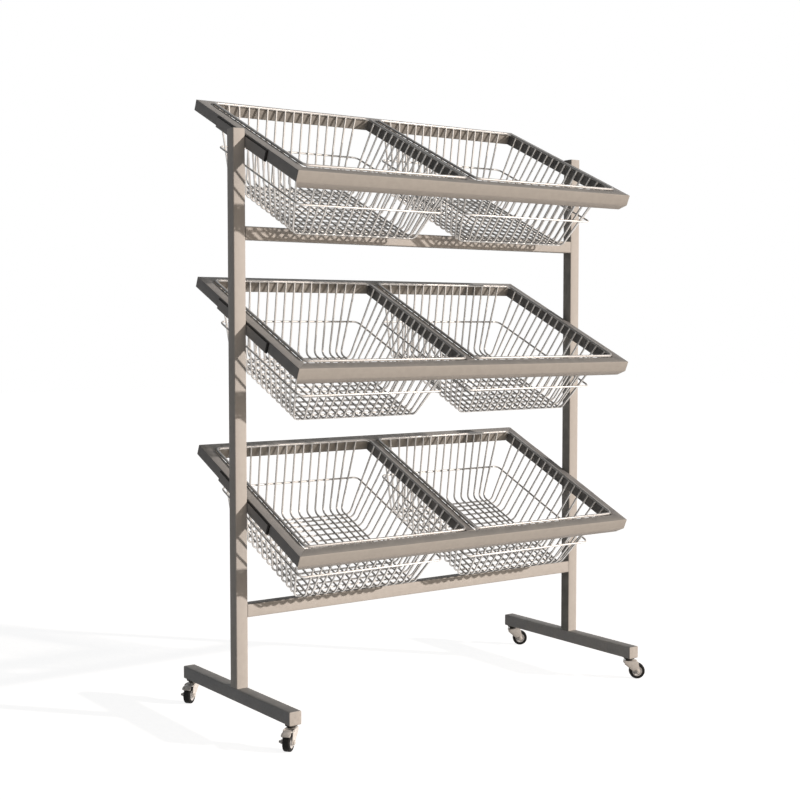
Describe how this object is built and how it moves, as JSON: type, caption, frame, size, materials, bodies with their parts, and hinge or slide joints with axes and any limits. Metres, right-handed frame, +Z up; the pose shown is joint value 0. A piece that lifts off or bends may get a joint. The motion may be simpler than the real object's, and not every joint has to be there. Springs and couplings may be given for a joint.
{
  "type": "mobile produce display stand",
  "caption": "Mobile produce display stand: uprights on feet with swivel casters carry tilted steel frames that hold lift-out tapered wire baskets.",
  "frame": {"origin": "on the floor under the middle of the stand, midway between the uprights and between the ends of the feet", "axes": "+Z up, +X to the right of someone facing the stand, +Y from the low front to the high rear of the frames"},
  "size_m": [1.0848, 0.5123, 1.4382],
  "materials": {
    "frame_steel": "satin",
    "bracket_steel": "satin, darker",
    "basket_wire": "bright",
    "caster_mount": "dark semi-gloss",
    "caster_steel": "bright zinc",
    "wheel_hub": "moulded",
    "tyre": "matt black"
  },
  "bodies": {
    "stand": {"left_upright": "frame_steel", "left_foot": "frame_steel", "left_foot_front_plug": "frame_steel", "left_foot_rear_plug": "frame_steel", "right_upright": "frame_steel", "right_foot": "frame_steel", "right_foot_front_plug": "frame_steel", "right_foot_rear_plug": "frame_steel", "upper_crossbar": "frame_steel", "lower_crossbar": "frame_steel", "bottom_front_rail": "frame_steel", "bottom_rear_rail": "frame_steel", "bottom_left_rail": "frame_steel", "bottom_right_rail": "frame_steel", "bottom_divider": "frame_steel", "bottom_left_bracket": "bracket_steel", "bottom_right_bracket": "bracket_steel", "middle_front_rail": "frame_steel", "middle_rear_rail": "frame_steel", "middle_left_rail": "frame_steel", "middle_right_rail": "frame_steel", "middle_divider": "frame_steel", "middle_left_bracket": "bracket_steel", "middle_right_bracket": "bracket_steel", "top_front_rail": "frame_steel", "top_rear_rail": "frame_steel", "top_left_rail": "frame_steel", "top_right_rail": "frame_steel", "top_divider": "frame_steel", "top_left_bracket": "bracket_steel", "top_right_bracket": "bracket_steel", "front_left_caster_mount": "caster_mount", "front_right_caster_mount": "caster_mount", "rear_left_caster_mount": "caster_mount", "rear_right_caster_mount": "caster_mount"},
    "bottom_left_basket": {"bottom_left_basket": "basket_wire"},
    "bottom_right_basket": {"bottom_right_basket": "basket_wire"},
    "middle_left_basket": {"middle_left_basket": "basket_wire"},
    "middle_right_basket": {"middle_right_basket": "basket_wire"},
    "top_left_basket": {"top_left_basket": "basket_wire"},
    "top_right_basket": {"top_right_basket": "basket_wire"},
    "front_left_fork": {"front_left_caster_fork": "caster_steel", "front_left_axle": "caster_steel"},
    "front_left_wheel": {"front_left_hub": "wheel_hub", "front_left_tyre": "tyre"},
    "front_left_pedal": {"front_left_brake_pedal": "caster_steel"},
    "front_right_fork": {"front_right_caster_fork": "caster_steel", "front_right_axle": "caster_steel"},
    "front_right_wheel": {"front_right_hub": "wheel_hub", "front_right_tyre": "tyre"},
    "rear_left_fork": {"rear_left_caster_fork": "caster_steel", "rear_left_axle": "caster_steel"},
    "rear_left_wheel": {"rear_left_hub": "wheel_hub", "rear_left_tyre": "tyre"},
    "rear_left_pedal": {"rear_left_brake_pedal": "caster_steel"},
    "rear_right_fork": {"rear_right_caster_fork": "caster_steel", "rear_right_axle": "caster_steel"},
    "rear_right_wheel": {"rear_right_hub": "wheel_hub", "rear_right_tyre": "tyre"}
  },
  "joints": [
    {"name": "bottom_left_basket_lift", "type": "slide", "parent": "stand", "child": "bottom_left_basket", "axis": [0, -0.4115, 0.9114], "range_m": [0, 0.179]},
    {"name": "bottom_right_basket_lift", "type": "slide", "parent": "stand", "child": "bottom_right_basket", "axis": [0, -0.4115, 0.9114], "range_m": [0, 0.179]},
    {"name": "middle_left_basket_lift", "type": "slide", "parent": "stand", "child": "middle_left_basket", "axis": [0, -0.4115, 0.9114], "range_m": [0, 0.145]},
    {"name": "middle_right_basket_lift", "type": "slide", "parent": "stand", "child": "middle_right_basket", "axis": [0, -0.4115, 0.9114], "range_m": [0, 0.145]},
    {"name": "top_left_basket_lift", "type": "slide", "parent": "stand", "child": "top_left_basket", "axis": [0, -0.4115, 0.9114], "range_m": [0, 0.179]},
    {"name": "top_right_basket_lift", "type": "slide", "parent": "stand", "child": "top_right_basket", "axis": [0, -0.4115, 0.9114], "range_m": [0, 0.179]},
    {"name": "front_left_swivel", "type": "hinge", "parent": "stand", "child": "front_left_fork", "pos_m": [-0.505, -0.23, 0.048], "axis": [0, 0, 1], "continuous": true},
    {"name": "front_left_roll", "type": "hinge", "parent": "front_left_fork", "child": "front_left_wheel", "pos_m": [-0.52032, -0.24286, 0.02], "axis": [0.6428, -0.766, 0], "continuous": true},
    {"name": "front_left_brake", "type": "hinge", "parent": "front_left_fork", "child": "front_left_pedal", "pos_m": [-0.51649, -0.23964, 0.04325], "axis": [0.6428, -0.766, 0], "range_deg": [0, 10]},
    {"name": "front_right_swivel", "type": "hinge", "parent": "stand", "child": "front_right_fork", "pos_m": [0.505, -0.23, 0.048], "axis": [0, 0, 1], "continuous": true},
    {"name": "front_right_roll", "type": "hinge", "parent": "front_right_fork", "child": "front_right_wheel", "pos_m": [0.52118, -0.24176, 0.02], "axis": [0.5878, 0.809, 0], "continuous": true},
    {"name": "rear_left_swivel", "type": "hinge", "parent": "stand", "child": "rear_left_fork", "pos_m": [-0.505, 0.23, 0.048], "axis": [0, 0, 1], "continuous": true},
    {"name": "rear_left_roll", "type": "hinge", "parent": "rear_left_fork", "child": "rear_left_wheel", "pos_m": [-0.52032, 0.21714, 0.02], "axis": [0.6428, -0.766, 0], "continuous": true},
    {"name": "rear_left_brake", "type": "hinge", "parent": "rear_left_fork", "child": "rear_left_pedal", "pos_m": [-0.51649, 0.22036, 0.04325], "axis": [0.6428, -0.766, 0], "range_deg": [0, 10]},
    {"name": "rear_right_swivel", "type": "hinge", "parent": "stand", "child": "rear_right_fork", "pos_m": [0.505, 0.23, 0.048], "axis": [0, 0, 1], "continuous": true},
    {"name": "rear_right_roll", "type": "hinge", "parent": "rear_right_fork", "child": "rear_right_wheel", "pos_m": [0.52118, 0.21824, 0.02], "axis": [0.5878, 0.809, 0], "continuous": true}
  ]
}
